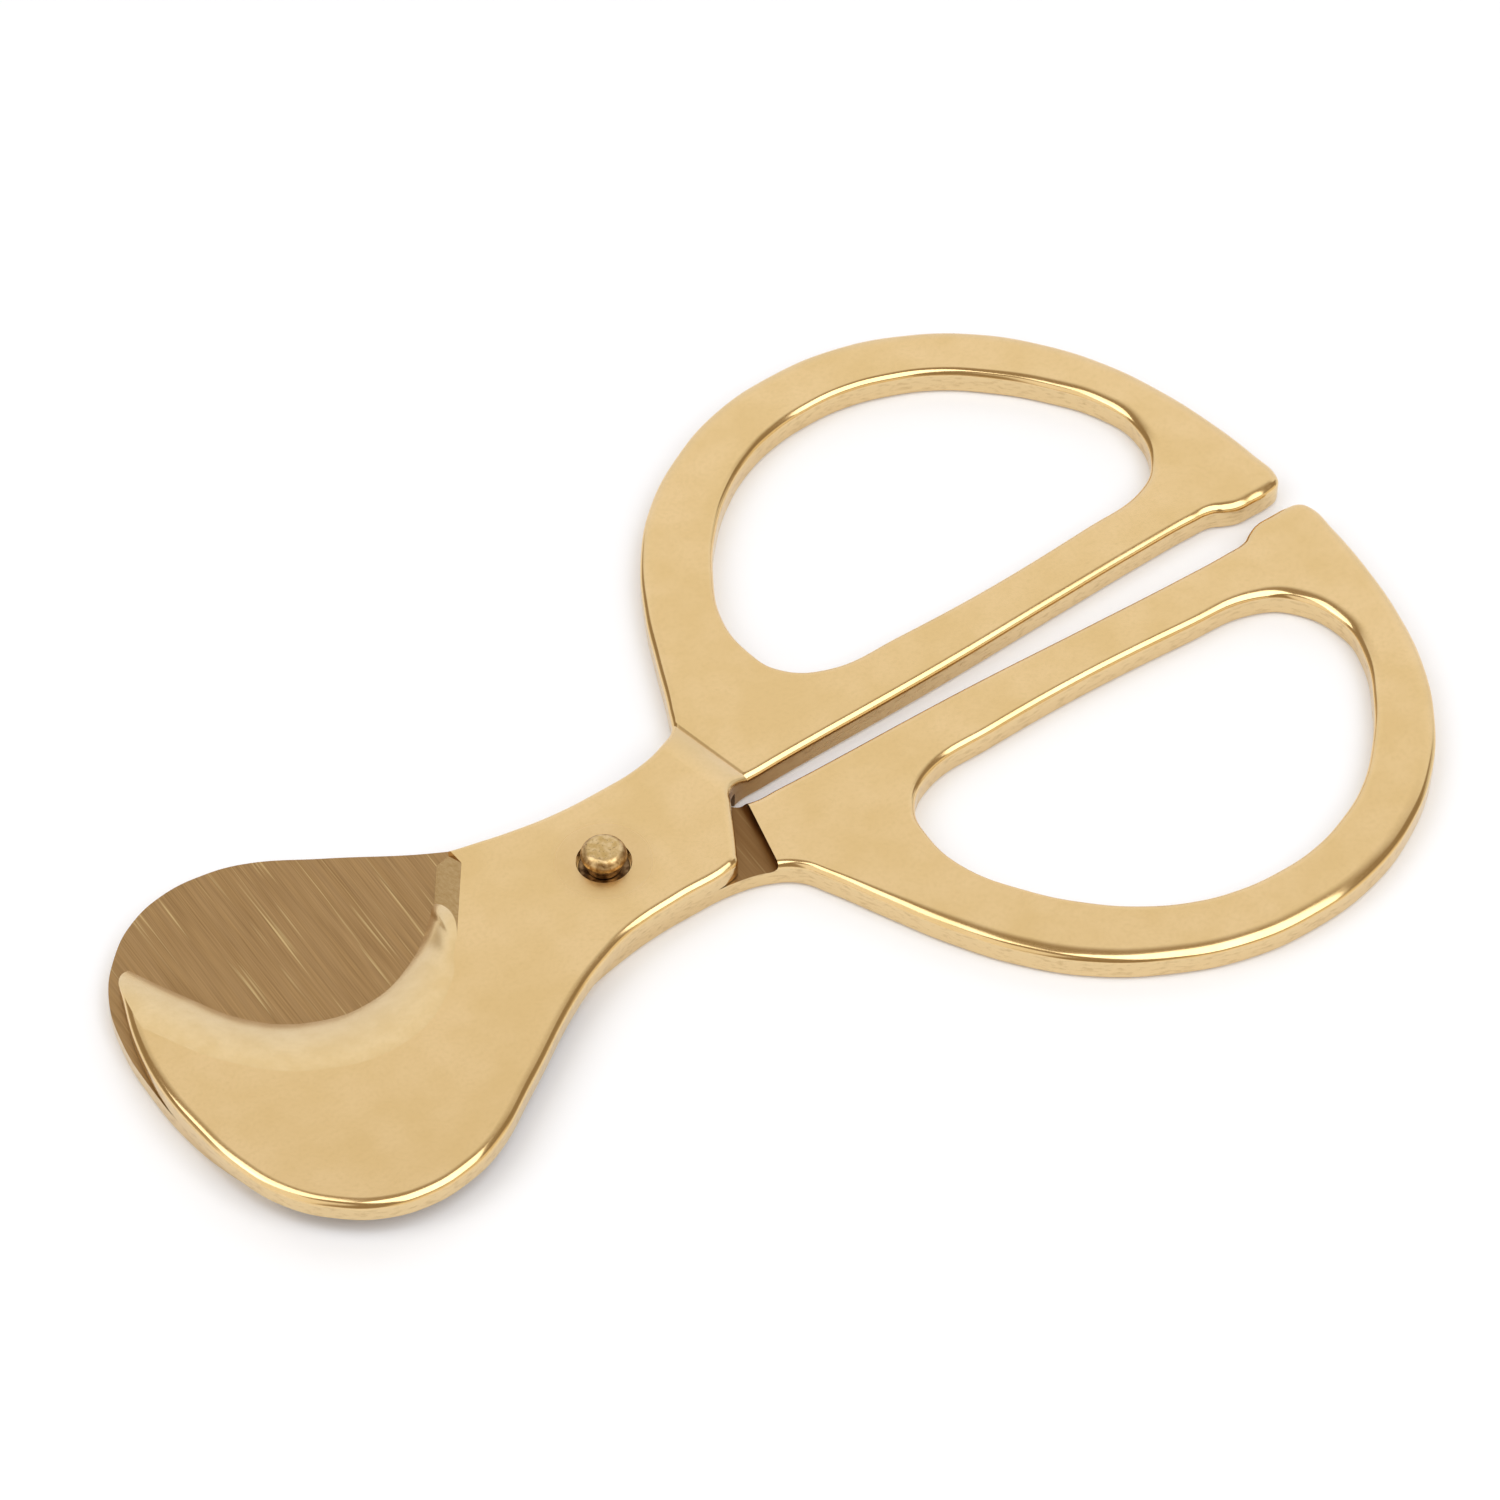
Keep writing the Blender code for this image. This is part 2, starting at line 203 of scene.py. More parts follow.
# Lines that cross the neck: the step at the end of the mating face, and the crease at the foot of the ramp
STEP_LINE = [(14.3, 1.0), (12.7, 7.4)]
CREASE_LINE = [(15.9, 1.5), (14.8, 8.1)]

# The crescent edge on the mating face, and point for point the shoulder of its bevel on the outer face
CRESCENT_EDGE = [
    (-40.6, 22.0),
    (-38.1, 15.4),
    (-36.0, 10.5),
    (-33.3, 5.4),
    (-29.6, 2.1),
    (-24.0, 0.6),
    (-18.3, 2.3),
    (-14.6, 5.1),
    (-13.5, 6.1),
    (-12.9, 6.2),
    (-12.0, 5.9),
    (-9.8, 4.9),
]
BEVEL_SHOULDER = [
    (-48.0, 20.0),
    (-43.8, 14.0),
    (-41.1, 7.8),
    (-37.8, 1.4),
    (-32.5, -3.8),
    (-24.4, -5.9),
    (-18.0, -3.0),
    (-15.7, -0.2),
    (-14.9, 0.55),
    (-14.3, 0.65),
    (-13.4, 0.35),
    (-9.8, -0.9),
]
# The flat wall that ends the bevel at the neck passes through these, on the outer, mating and outer faces
BEVEL_END = [(-9.9, 7.0), (-13.3, 6.3), (-14.2, 1.5)]


def smooth_line(points, closed):
    """Points along the smooth line through the given ones."""
    curve = bpy.data.curves.new("line", "CURVE")
    curve.dimensions = "2D"
    curve.fill_mode = "NONE"
    curve.resolution_u = CURVE_STEPS
    spline = curve.splines.new("BEZIER")
    spline.bezier_points.add(len(points) - 1)
    for knot, (x, y) in zip(spline.bezier_points, points):
        knot.co = (x, y, 0.0)
        knot.handle_left_type = "AUTO"
        knot.handle_right_type = "AUTO"
    spline.use_cyclic_u = closed
    obj = bpy.data.objects.new("line", curve)
    bpy.context.scene.collection.objects.link(obj)
    mesh = evaluated(obj)
    line = [vertex.co.xy for vertex in mesh.vertices]
    bpy.data.meshes.remove(mesh)
    return line


def evaluated(obj):
    """The mesh of an object with its modifiers, in place of the object."""
    bpy.context.view_layer.update()
    graph = bpy.context.evaluated_depsgraph_get()
    mesh = bpy.data.meshes.new_from_object(obj.evaluated_get(graph))
    bpy.data.objects.remove(obj, do_unlink=True)
    return mesh


def crown_widths(loop, wanted):
    """The wanted width at each point, narrowed where the outline turns too tightly for it, and evened out."""
    count = len(loop)
    reach = CURVE_STEPS // 4
    widths = []
    for i, width in enumerate(wanted):
        before = loop[i] - loop[i - reach]
        after = loop[(i + reach) % count] - loop[i]
        turn = -before.angle_signed(after, 0.0)
        length = (before.length + after.length) / 2
        if turn > 0.0:
            width = min(width, CONVEX_SHARE * length / turn)
        widths.append(width)
    spread = CURVE_STEPS
    lowest = [min(widths[(i + j) % count] for j in range(-spread // 2, spread // 2 + 1)) for i in range(count)]
    return [sum(lowest[(i + j) % count] for j in range(-spread, spread + 1)) / (2 * spread + 1) for i in range(count)]


def crown(steps):
    """Pairs (inward, down) along a rounded edge from face to wall, as shares of its width and depth."""
    pairs = []
    for step in range(steps + 1):
        angle = math.radians(90.0 * step / steps)
        pairs.append((1.0 - math.sin(angle), 1.0 - math.cos(angle)))
    return pairs


def rings(bm, loop, widths, height):
    """The rounded wall along a loop that has metal on its left, from the bottom face up to the top face."""
    count = len(loop)
    inward = []
    for i in range(count):
        along = (loop[(i + 1) % count] - loop[i - 1]).normalized()
        inward.append(Vector((-along.y, along.x)))
    levels = []
    for share, rise in crown(FOOT_STEPS):
        levels.append(([min(width, FOOT_WIDTH) * share for width in widths], FOOT_DEPTH * rise))
    for share, drop in reversed(crown(CROWN_STEPS)):
        levels.append(([width * share for width in widths], height - CROWN_DEPTH * drop))
    made = []
    for offsets, z in levels:
        verts = []
        for point, side, offset in zip(loop, inward, offsets):
            x, y = point + side * offset
            verts.append(bm.verts.new((x * MM, y * MM, z * MM)))
        made.append([bm.edges.new((verts[i - 1], verts[i])) for i in range(count)])
    for lower, upper in zip(made, made[1:]):
        bmesh.ops.bridge_loops(bm, edges=lower + upper)
    return made[0], made[-1]


def plate(height):
    """The whole half as one flat plate with rounded edges and its finger hole."""
    bm = bmesh.new()
    rims = []
    for outline in (OUTLINE, FINGER_HOLE):
        knots = [point for points, width in outline for point in points]
        knot_widths = [width for points, width in outline for point in points]
        loop = smooth_line(knots, True)
        wanted = []
        for i in range(len(knots)):
            start, end = knot_widths[i], knot_widths[(i + 1) % len(knots)]
            wanted += [start + (end - start) * step / CURVE_STEPS for step in range(CURVE_STEPS)]
        rims.append(rings(bm, loop, crown_widths(loop, wanted), height))
    for outer_rim, hole_rim in zip(*rims):
        rim = outer_rim + hole_rim
        filled = bmesh.ops.triangle_fill(bm, edges=rim, use_beauty=False)
        faces = {item for item in filled["geom"] if isinstance(item, bmesh.types.BMFace)}
        inner = [edge for edge in bm.edges if faces.issuperset(edge.link_faces) and len(edge.link_faces) == 2]
        bmesh.ops.dissolve_limit(bm, angle_limit=math.radians(FLAT_DEG), verts=[], edges=inner)
    bmesh.ops.recalc_face_normals(bm, faces=bm.faces)
    return bm


def across(line):
    """The level unit vector that crosses a line, towards the handle."""
    along = Vector(line[1]) - Vector(line[0])
    return Vector((along.y, -along.x)).normalized()


def raise_blade(bm):
    """Lifts the top face over the pivot and the blade, up a ramp with a pressed crease at its foot and a soft head."""
    towards_handle = across(CREASE_LINE)
    foot = Vector(CREASE_LINE[0])
    stations = [-CREASE_WIDTH] + [RAMP_LENGTH * step / RAMP_STEPS for step in range(RAMP_STEPS + 1)]
    for station in stations:
        line = (foot - towards_handle * station) * MM
        bmesh.ops.bisect_plane(
            bm,
            geom=bm.verts[:] + bm.edges[:] + bm.faces[:],
            dist=MERGE * MM,
            plane_co=(line.x, line.y, 0.0),
            plane_no=(towards_handle.x, towards_handle.y, 0.0),
        )
    for vert in bm.verts:
        if vert.co.z < HANDLE_TOP / 2 * MM:
            continue
        beyond = (foot - vert.co.xy / MM).dot(towards_handle)
        share = min(max(beyond / RAMP_LENGTH, 0.0), 1.0)
        rise = (UPPER_TOP - HANDLE_TOP) * (1.0 - (1.0 - share) ** RAMP_POWER)
        crease = CREASE_DEPTH * max(1.0 - max(-beyond / CREASE_WIDTH, beyond / RAMP_LENGTH), 0.0)
        vert.co.z += (rise - crease) * MM


def to_object(bm, name, *materials):
    """A new object that takes its mesh from a bmesh, which ends here, with its materials."""
    mesh = bpy.data.meshes.new(name)
    bm.to_mesh(mesh)
    bm.free()
    for material in materials:
        mesh.materials.append(material)
    obj = bpy.data.objects.new(name, mesh)
    bpy.context.scene.collection.objects.link(obj)
    return obj


def cut(obj, cutters):
    """Takes the cutters out of the object, whose cut faces get the cutters' materials."""
    for cutter in cutters:
        modifier = obj.modifiers.new(cutter.name, "BOOLEAN")
        modifier.operation = "DIFFERENCE"
        modifier.solver = "EXACT"
        modifier.material_mode = "TRANSFER"
        modifier.object = cutter
    name = obj.name
    mesh = evaluated(obj)
    for cutter in cutters:
        bpy.data.objects.remove(cutter, do_unlink=True)
    bm = bmesh.new()
    bm.from_mesh(mesh)
    bmesh.ops.remove_doubles(bm, verts=bm.verts, dist=MERGE * MM)
    bmesh.ops.dissolve_degenerate(bm, dist=MERGE * MM, edges=bm.edges)
    bm.to_mesh(mesh)
    bm.free()
    mesh.name = name
    made = bpy.data.objects.new(name, mesh)
    bpy.context.scene.collection.objects.link(made)
    return made


def bevel_cutter(mating_z, outer_z, material, end_material):
    """Everything over the bevel: a loft from past the crescent edge, where it is steep, past a soft shoulder."""
    edge = smooth_line(CRESCENT_EDGE, False)
    shoulder = smooth_line(BEVEL_SHOULDER, False)
    bm = bmesh.new()
    loops = []
    for step in range(-BEVEL_OVERRUN, BEVEL_STEPS + BEVEL_OVERRUN + 1):
        share = step / BEVEL_STEPS
        curve = 1.0 - (1.0 - share) ** BEVEL_POWER if share < 1.0 else 1.0
        rise = (1.0 - BEVEL_RUNOUT) * curve + BEVEL_RUNOUT * share
        z = mating_z + (outer_z - mating_z) * rise
        ring = [start.lerp(end, share) for start, end in zip(edge, shoulder)]
        ring += [Vector((ring[-1].x, FAR)), Vector((ring[0].x, FAR))]
        verts = [bm.verts.new((x * MM, y * MM, z * MM)) for x, y in ring]
        loops.append([bm.edges.new((verts[i - 1], verts[i])) for i in range(len(verts))])
    for lower, upper in zip(loops, loops[1:]):
        bmesh.ops.bridge_loops(bm, edges=lower + upper)
    raised = bmesh.ops.extrude_edge_only(bm, edges=loops[-1])["geom"]
    for item in raised:
        if isinstance(item, bmesh.types.BMVert):
            item.co.z = (2.0 * outer_z - mating_z) * MM
    bmesh.ops.holes_fill(bm, edges=bm.edges, sides=0)
    bmesh.ops.triangulate(bm, faces=bm.faces)
    corners = [Vector((x, y, z)) for (x, y), z in zip(BEVEL_END, (outer_z, mating_z, outer_z))]
    into_metal = (corners[0] - corners[1]).cross(corners[2] - corners[1]).normalized()
    if into_metal.z * (mating_z - outer_z) < 0.0:
        into_metal.negate()
    kept = bmesh.ops.bisect_plane(
        bm,
        geom=bm.verts[:] + bm.edges[:] + bm.faces[:],
        dist=MERGE * MM,
        plane_co=corners[1] * MM,
        plane_no=into_metal,
        clear_outer=True,
    )
    rim = [item for item in kept["geom_cut"] if isinstance(item, bmesh.types.BMEdge)]
    for face in bmesh.ops.holes_fill(bm, edges=rim, sides=0)["faces"]:
        face.material_index = 1
    bmesh.ops.triangulate(bm, faces=bm.faces)
    bmesh.ops.recalc_face_normals(bm, faces=bm.faces)
    return to_object(bm, "bevel_cutter", material, end_material)


def relief_cutter(profile, material):
    """A bar over the pivot and the blade, whose section across the step line is the profile of (distance, height)."""
    towards_handle = across(STEP_LINE)
    along = Vector((-towards_handle.y, towards_handle.x))
    start = Vector(STEP_LINE[0]) - along * FAR
    bm = bmesh.new()
    verts = []
    for distance, z in profile:
        x, y = start + towards_handle * distance
        verts.append(bm.verts.new((x * MM, y * MM, z * MM)))
    face = bm.faces.new(verts)
    side = bmesh.ops.extrude_face_region(bm, geom=[face])["geom"]
    moved = [item for item in side if isinstance(item, bmesh.types.BMVert)]
    bmesh.ops.translate(bm, verts=moved, vec=(along * 2 * FAR * MM).to_3d())
    bmesh.ops.recalc_face_normals(bm, faces=bm.faces)
    return to_object(bm, "relief_cutter", material)


def turned(name, profile, material):
    """A closed profile of (radius, height) points, spun about the pivot axis."""
    bm = bmesh.new()
    verts = [bm.verts.new((radius * MM, 0.0, z * MM)) for radius, z in profile]
    edges = [bm.edges.new(pair) for pair in zip(verts, verts[1:])]
    bmesh.ops.spin(
        bm,
        geom=verts + edges,
        axis=(0.0, 0.0, 1.0),
        cent=(0.0, 0.0, 0.0),
        angle=math.tau,
        steps=TURNED_STEPS,
        use_merge=True,
    )
    bmesh.ops.remove_doubles(bm, verts=bm.verts, dist=MERGE * MM)
    bmesh.ops.recalc_face_normals(bm, faces=bm.faces)
    return to_object(bm, name, material)


def finish_surface(obj):
    """Smooth shading in which the flat faces stay flat, and real corners and the borders of finishes stay sharp."""
    obj.data.shade_smooth()
    obj.data.set_sharp_from_angle(angle=math.radians(SHARP_DEG))
    bm = bmesh.new()
    bm.from_mesh(obj.data)
    for edge in bm.edges:
        if len({face.material_index for face in edge.link_faces}) > 1:
            edge.smooth = False
    bm.to_mesh(obj.data)
    bm.free()
    normals = obj.modifiers.new("flat faces first", "WEIGHTED_NORMAL")
    normals.keep_sharp = True
    normals.weight = FLAT_WEIGHT


def in_place(obj, mirrored, body, node):
    turn = math.radians(REST_OPENING_DEG / 2)
    if mirrored:
        obj.data.transform(Matrix.Scale(-1.0, 4, (0.0, 1.0, 0.0)))
        bm = bmesh.new()
        bm.from_mesh(obj.data)
        bmesh.ops.recalc_face_normals(bm, faces=bm.faces)
        bm.to_mesh(obj.data)
        bm.free()
        turn = -turn
    obj.data.transform(Matrix.Rotation(turn, 4, "Z"))
    finish_surface(obj)
    declare(obj, body, node)


def declare(obj, body, node):
    """Hangs a piece on the body that it rides on, and hides the node that it stands for."""
    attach(obj, body)
    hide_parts(node)


def make_upper_half(gold, brushed, ground, facet):
    """The half whose blade is raised over the other's, with the counterbore for the rivet's head."""
    blank = plate(HANDLE_TOP)
    raise_blade(blank)
    half = to_object(blank, "upper_half_plated", gold)
    above = UPPER_TOP + MARGIN
    floor = UPPER_TOP - COUNTERBORE_DEPTH
    rim = UPPER_TOP - COUNTERBORE_BREAK
    flare = COUNTERBORE_RADIUS + COUNTERBORE_BREAK + MARGIN
    relief = [(0.0, -MARGIN), (0.0, UPPER_MATING), (-FAR, UPPER_MATING), (-FAR, -MARGIN)]
    bore = [
        (0.0, above),
        (flare, above),
        (COUNTERBORE_RADIUS, rim),
        (COUNTERBORE_RADIUS, floor),
        (BORE_RADIUS, floor),
        (BORE_RADIUS, 0.0),
        (0.0, 0.0),
    ]
    cutters = [
        relief_cutter(relief, brushed),
        bevel_cutter(UPPER_MATING, UPPER_TOP, ground, facet),
        turned("bore_cutter", bore, gold),
    ]
    in_place(cut(half, cutters), False, "upper", "upper_half")


def make_lower_half(gold, brushed, ground, facet):
    """The half that lies flat, its blade ground down to the mating face, with the recess for the rivet's tail."""
    half = to_object(plate(HANDLE_TOP), "lower_half_plated", gold)
    above = HANDLE_TOP + MARGIN
    radius = HANDLE_TOP - LOWER_MATING
    relief = [(-FAR, above), (-FAR, LOWER_MATING)]
    for step in range(FILLET_STEPS + 1):
        angle = math.radians(90.0 * step / FILLET_STEPS)
        relief.append((radius * (math.sin(angle) - 1.0), HANDLE_TOP - radius * math.cos(angle)))
    relief.append((0.0, above))
    bore = [
        (0.0, above),
        (BORE_RADIUS, above),
        (BORE_RADIUS, TAIL_RECESS_DEPTH),
        (TAIL_RECESS_RADIUS, TAIL_RECESS_DEPTH),
        (TAIL_RECESS_RADIUS, -MARGIN),
        (0.0, -MARGIN),
    ]
    cutters = [
        relief_cutter(relief, brushed),
        bevel_cutter(LOWER_MATING, 0.0, ground, facet),
        turned("bore_cutter", bore, gold),
    ]
    in_place(cut(half, cutters), True, "lower", "lower_half")


def make_rivet(material):
    """The rivet: a round head with an undercut, its shank, and the tail peened flush underneath."""
    head_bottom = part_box("spring_washer")[1].z / MM + HEAD_SEAT_GAP
    crown_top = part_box("pivot_rivet")[1].z / MM
    rim_top = UPPER_TOP + HEAD_RIM_HEIGHT
    profile = [(0.0, crown_top)]
    for inward, drop in crown(CROWN_STEPS):
        radius = HEAD_RADIUS - (HEAD_RADIUS - HEAD_FLAT_RADIUS) * inward
        profile.append((radius, crown_top - (crown_top - rim_top) * drop))
    for inward, drop in reversed(crown(CROWN_STEPS)):
        radius = HEAD_RADIUS - UNDERCUT_WIDTH * inward
        profile.append((radius, rim_top - UNDERCUT_HEIGHT * (1.0 - drop)))
    profile += [
        (HEAD_RADIUS - UNDERCUT_WIDTH, head_bottom),
        (SHANK_RADIUS, head_bottom),
        (SHANK_RADIUS, TAIL_THICKNESS),
        (TAIL_RADIUS, TAIL_THICKNESS),
        (TAIL_RADIUS, TAIL_CHAMFER),
        (TAIL_RADIUS - TAIL_CHAMFER, 0.0),
        (0.0, 0.0),
    ]
    rivet = turned("pivot_rivet_turned", profile, material)
    finish_surface(rivet)
    declare(rivet, "lower", "pivot_rivet")


def make_washer(material):
    """The thin washer on the counterbore's floor, its outer edge rounded by the blanking die."""
    low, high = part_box("spring_washer")
    bottom, top, outer = low.z / MM, high.z / MM, high.x / MM
    profile = [
        (BORE_RADIUS, bottom),
        (BORE_RADIUS, top),
        (outer - WASHER_ROUNDING, top),
        (outer, top - WASHER_ROUNDING),
        (outer, bottom + WASHER_ROUNDING),
        (outer - WASHER_ROUNDING, bottom),
        (BORE_RADIUS, bottom),
    ]
    washer = turned("spring_washer_turned", profile, material)
    finish_surface(washer)
    declare(washer, "lower", "spring_washer")


def linear(hex_colour):
    """An sRGB hex colour as linear red, green, blue and alpha."""
    parts = [int(hex_colour[i : i + 2], 16) / 255 for i in (1, 3, 5)]
    return [c / 12.92 if c <= 0.04045 else ((c + 0.055) / 1.055) ** 2.4 for c in parts] + [1.0]


def add(tree, kind, inputs=(), **settings):
    """A node with its settings. Its inputs, by name or in order, are values, or nodes or sockets that feed them."""
    made = tree.nodes.new(kind)
    for name, value in settings.items():
        setattr(made, name, value)
    sockets = [socket for socket in made.inputs if socket.enabled]
    if isinstance(inputs, dict):
        sockets = [made.inputs[name] for name in inputs]
        inputs = inputs.values()
    for socket, value in zip(sockets, inputs):
        if isinstance(value, bpy.types.Node):
            value = next(output for output in value.outputs if output.enabled)
        if isinstance(value, bpy.types.NodeSocket):
            tree.links.new(value, socket)
        else:
            socket.default_value = value
    return made


def new_material(name):
    """A material whose node tree is still empty, and that tree."""
    material = bpy.data.materials.new(name)
    material.use_nodes = True
    material.node_tree.nodes.clear()
    return material, material.node_tree


def polished_gold_plate():
    """Gold-coloured plating on buffed stamped steel.

    The flats are satin, the rounded edges brighter, and the walls duller, because no buffing wheel reaches them.
    The walls are painted paler as a painted reflection of a cool floor, and painted shade darkens the gap's walls.
    """
    material, tree = new_material("polished_gold_plate")
    place = add(tree, "ShaderNodeTexCoord").outputs["Object"]
    at = add(tree, "ShaderNodeSeparateXYZ", [place]).outputs
    normal = add(tree, "ShaderNodeNewGeometry").outputs["Normal"]
    facing = add(tree, "ShaderNodeSeparateXYZ", [normal]).outputs["Z"]
    level = add(tree, "ShaderNodeMath", [facing], operation="ABSOLUTE")
    flat = add(tree, "ShaderNodeMapRange", (level, 0.93, 0.995))
    wall = add(tree, "ShaderNodeMapRange", (level, 0.35, 0.1))

    # Cloudy buffing over 5 mm, a fine grain drawn at 0.35 mm where the real one is finer than a pixel, and
    # grinding marks 0.3 mm high that run along the walls
    patterns = []
    for size, detail in (((5.0, 5.0, 5.0), 2.0), ((0.35, 0.35, 0.35), 2.0), ((0.9, 0.9, 0.3), 3.0)):
        spot = add(tree, "ShaderNodeMapping", {"Vector": place, "Scale": Vector(size) * MM}, vector_type="TEXTURE")
        patterns.append(add(tree, "ShaderNodeTexNoise", {"Vector": spot, "Scale": 1.0, "Detail": detail}))
    cloud, grain, marks = patterns
    clouded = add(tree, "ShaderNodeMapRange", (cloud, *MIDDLE))
    grained = add(tree, "ShaderNodeMapRange", (grain, *HIGH, 0.0, 0.25))
    marked = add(tree, "ShaderNodeMapRange", (marks, 0.5, 0.72, 0.0, 0.45))
    dull = add(tree, "ShaderNodeMath", (wall, marked), operation="MULTIPLY")

    # Painted shade on the walls of the gap between the handles, darker and browner towards the pivot where the gap
    # narrows
    off_middle = add(tree, "ShaderNodeMath", [at["Y"]], operation="ABSOLUTE")
    inner = add(tree, "ShaderNodeMapRange", (off_middle, 2.6 * MM, 2.2 * MM))
    for value, low, high in (
        (at["X"], 48.0 * MM, 12.0 * MM),
        (level, 0.6, 0.2),
        (at["X"], 10.0 * MM, 11.0 * MM),
    ):
        share = add(tree, "ShaderNodeMapRange", (value, low, high))
        inner = add(tree, "ShaderNodeMath", (inner, share), operation="MULTIPLY")

    # Round the pivot the wheel doesn't reach the face as well
    level_place = add(tree, "ShaderNodeVectorMath", (place, (1.0, 1.0, 0.0)), operation="MULTIPLY")
    radius = add(tree, "ShaderNodeVectorMath", [level_place], operation="LENGTH")
    near_pivot = add(tree, "ShaderNodeMapRange", (radius, 5.0 * MM, 3.2 * MM))
    ring = add(tree, "ShaderNodeMath", (near_pivot, flat), operation="MULTIPLY")

    # Each colour lies over the ones before it
    colour = linear("#E3C48C")
    for share, over in (
        (clouded, "#E9CB97"),
        (grained, "#D8B980"),
        # Painted reflection: the walls are painted paler, standing in for the cool floor that they reflect
        (wall, "#E4CA9A"),
        (dull, "#B99A6C"),
        # Painted shade in the narrowing gap between the handles
        (inner, "#A27A46"),
    ):
        colour = add(tree, "ShaderNodeMix", (share, colour, linear(over)), data_type="RGBA")
    rough = add(tree, "ShaderNodeMapRange", (flat, 0.0, 1.0, 0.13, 0.21))
    for share, more in ((ring, 0.14), (dull, 0.3), (inner, 0.2)):
        rough = add(tree, "ShaderNodeMath", (share, more, rough), operation="MULTIPLY_ADD")
    waves = add(tree, "ShaderNodeBump", {"Height": cloud, "Strength": 0.25, "Distance": 0.03 * MM})
    bump = add(tree, "ShaderNodeBump", {"Height": grain, "Strength": 0.07, "Distance": 0.002 * MM, "Normal": waves})
    surface = {"Base Color": colour, "Metallic": 1.0, "Roughness": rough, "Normal": bump}
    add(tree, "ShaderNodeOutputMaterial", {"Surface": add(tree, "ShaderNodeBsdfPrincipled", surface)})
    return material


def brushed_mating_face():
    """Surface-ground steel under thin plating: fine straight lines across the blade, with single bright scratches."""
    material, tree = new_material("brushed_mating_face")
    place = add(tree, "ShaderNodeTexCoord").outputs["Object"]
    from_pivot = add(tree, "ShaderNodeSeparateXYZ", [place]).outputs["X"]
    slant = (0.0, 0.0, math.radians(-3.0))

    # Grit lines drawn at 0.11 mm, a little coarser than real ones, broad bands of them, and single scratches
    patterns = []
    for size, detail in (((0.11, 7.7, 0.11), 2.0), ((0.9, 12.6, 0.9), 2.0), ((0.3, 13.5, 0.3), 1.0)):
        drawn = {"Vector": place, "Rotation": slant, "Scale": Vector(size) * MM}
        spot = add(tree, "ShaderNodeMapping", drawn, vector_type="TEXTURE")
        patterns.append(add(tree, "ShaderNodeTexNoise", {"Vector": spot, "Scale": 1.0, "Detail": detail}))
    lines, bands, scratches = patterns
    colour = linear("#94754E")
    for span, over in (
        ((lines, 0.25, 0.75), "#B59262"),
        ((bands, 0.35, 0.7, 0.0, 0.25), "#C3A276"),
        ((scratches, 0.62, 0.76, 0.0, 0.75), "#E2C890"),
        # Painted shade: darker towards the step, where the step and the upper shank shade the mating face
        ((from_pivot, 6.0 * MM, 12.0 * MM, 0.0, 0.85), "#7E5B35"),
    ):
        share = add(tree, "ShaderNodeMapRange", span)
        colour = add(tree, "ShaderNodeMix", (share, colour, linear(over)), data_type="RGBA")
    rough = add(tree, "ShaderNodeMapRange", (lines, *BROAD, 0.38, 0.3))
    bump = add(tree, "ShaderNodeBump", {"Height": lines, "Strength": 0.25, "Distance": 0.006 * MM})
    surface = {"Base Color": colour, "Metallic": 1.0, "Roughness": rough, "Normal": bump}
    add(tree, "ShaderNodeOutputMaterial", {"Surface": add(tree, "ShaderNodeBsdfPrincipled", surface)})
    return material


def ground_bevel():
    """The bevel of the cutting edge, ground and then plated: a little duller than the faces round it."""
    material, tree = new_material("ground_bevel")
    place = add(tree, "ShaderNodeTexCoord").outputs["Object"]

    # Cloudy grinding over 2 mm, and a fine grain drawn at 0.3 mm where the real one is finer than a pixel
    patterns = []
    for size, detail in (((2.0, 2.0, 2.0), 3.0), ((0.3, 0.3, 0.3), 2.0)):
        spot = add(tree, "ShaderNodeMapping", {"Vector": place, "Scale": Vector(size) * MM}, vector_type="TEXTURE")
        patterns.append(add(tree, "ShaderNodeTexNoise", {"Vector": spot, "Scale": 1.0, "Detail": detail}))
    cloud, grain = patterns
    colour = linear("#E2C590")
    for span, over in (((cloud, *MIDDLE), "#E8CD9B"), ((grain, *HIGH, 0.0, 0.25), "#D9BC86")):
        share = add(tree, "ShaderNodeMapRange", span)
        colour = add(tree, "ShaderNodeMix", (share, colour, linear(over)), data_type="RGBA")
    rough = add(tree, "ShaderNodeMapRange", (cloud, *BROAD, 0.17, 0.22))
    bump = add(tree, "ShaderNodeBump", {"Height": cloud, "Strength": 0.1, "Distance": 0.01 * MM})
    surface = {"Base Color": colour, "Metallic": 1.0, "Roughness": rough, "Normal": bump}
    add(tree, "ShaderNodeOutputMaterial", {"Surface": add(tree, "ShaderNodeBsdfPrincipled", surface)})
    return material


def ground_end_facet():
    """The flat that the grinding wheel leaves where the bevel ends: fine lines, under a thinner and darker plating."""
    material, tree = new_material("ground_end_facet")
    place = add(tree, "ShaderNodeTexCoord").outputs["Object"]

    # Lines drawn at 0.18 mm, a little coarser than real ones
    size = Vector((0.18, 0.9, 0.54)) * MM
    spot = add(tree, "ShaderNodeMapping", {"Vector": place, "Scale": size}, vector_type="TEXTURE")
    lines = add(tree, "ShaderNodeTexNoise", {"Vector": spot, "Scale": 1.0, "Detail": 2.0})
    share = add(tree, "ShaderNodeMapRange", (lines, *BROAD))
    colour = add(tree, "ShaderNodeMix", (share, linear("#DCBF8C"), linear("#E5CA9A")), data_type="RGBA")
    rough = add(tree, "ShaderNodeMapRange", (lines, *BROAD, 0.14, 0.2))
    bump = add(tree, "ShaderNodeBump", {"Height": lines, "Strength": 0.15, "Distance": 0.004 * MM})
    surface = {"Base Color": colour, "Metallic": 1.0, "Roughness": rough, "Normal": bump}
    add(tree, "ShaderNodeOutputMaterial", {"Surface": add(tree, "ShaderNodeBsdfPrincipled", surface)})
    return material


